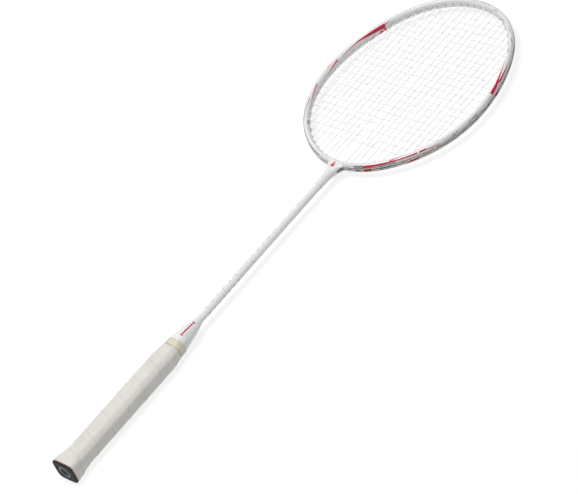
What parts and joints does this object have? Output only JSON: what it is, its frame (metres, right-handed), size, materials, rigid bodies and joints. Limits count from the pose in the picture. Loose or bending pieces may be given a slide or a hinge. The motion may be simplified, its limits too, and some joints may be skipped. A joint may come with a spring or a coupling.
{
  "type": "badminton racket",
  "caption": "Badminton racket: oval grooved hoop with woven string bed on a slim tube shaft, flared throat, cone and wrapped eight-sided handle with a flared butt.",
  "frame": {"origin": "centre of the butt cap's flat end face", "axes": "+X along the shaft from the butt end to the head's tip, +Y across the head, +Z out of the string plane"},
  "size_m": [0.675, 0.2014, 0.0254],
  "materials": {
    "frame_paint": "pearl white gloss over carbon fibre, crimson and grey stripes",
    "shaft_paint": "white gloss over carbon fibre with small broken marks",
    "string_nylon": "translucent white nylon",
    "grommet_nylon": "beige nylon",
    "cone_plastic": "white gloss moulding with a crimson line",
    "tape": "cream finishing tape",
    "grip_leather": "off-white soft polyurethane grip, wound in a spiral",
    "handle_wood": "bare light wood",
    "cap_plastic": "black moulding",
    "badge_plastic": "grey inlaid ring"
  },
  "bodies": {
    "root": {"head_frame": "frame_paint", "throat_joint": "frame_paint", "shaft_tube": "shaft_paint", "main_string": "string_nylon", "cross_string": "string_nylon", "grommet_strip_left_1": "grommet_nylon", "grommet_strip_left_2": "grommet_nylon", "grommet_strip_left_3": "grommet_nylon", "grommet_strip_left_4": "grommet_nylon", "grommet_strip_left_5": "grommet_nylon", "grommet_strip_left_6": "grommet_nylon", "grommet_strip_left_7": "grommet_nylon", "grommet_strip_left_8": "grommet_nylon", "grommet_strip_right_1": "grommet_nylon", "grommet_strip_right_2": "grommet_nylon", "grommet_strip_right_3": "grommet_nylon", "grommet_strip_right_4": "grommet_nylon", "grommet_strip_right_5": "grommet_nylon", "grommet_strip_right_6": "grommet_nylon", "grommet_strip_right_7": "grommet_nylon", "grommet_strip_right_8": "grommet_nylon", "cone_cap": "cone_plastic", "finishing_tape": "tape", "grip_wrap": "grip_leather", "handle_half_upper": "handle_wood", "handle_half_lower": "handle_wood", "butt_cap": "cap_plastic", "butt_badge": "badge_plastic"}
  },
  "joints": []
}
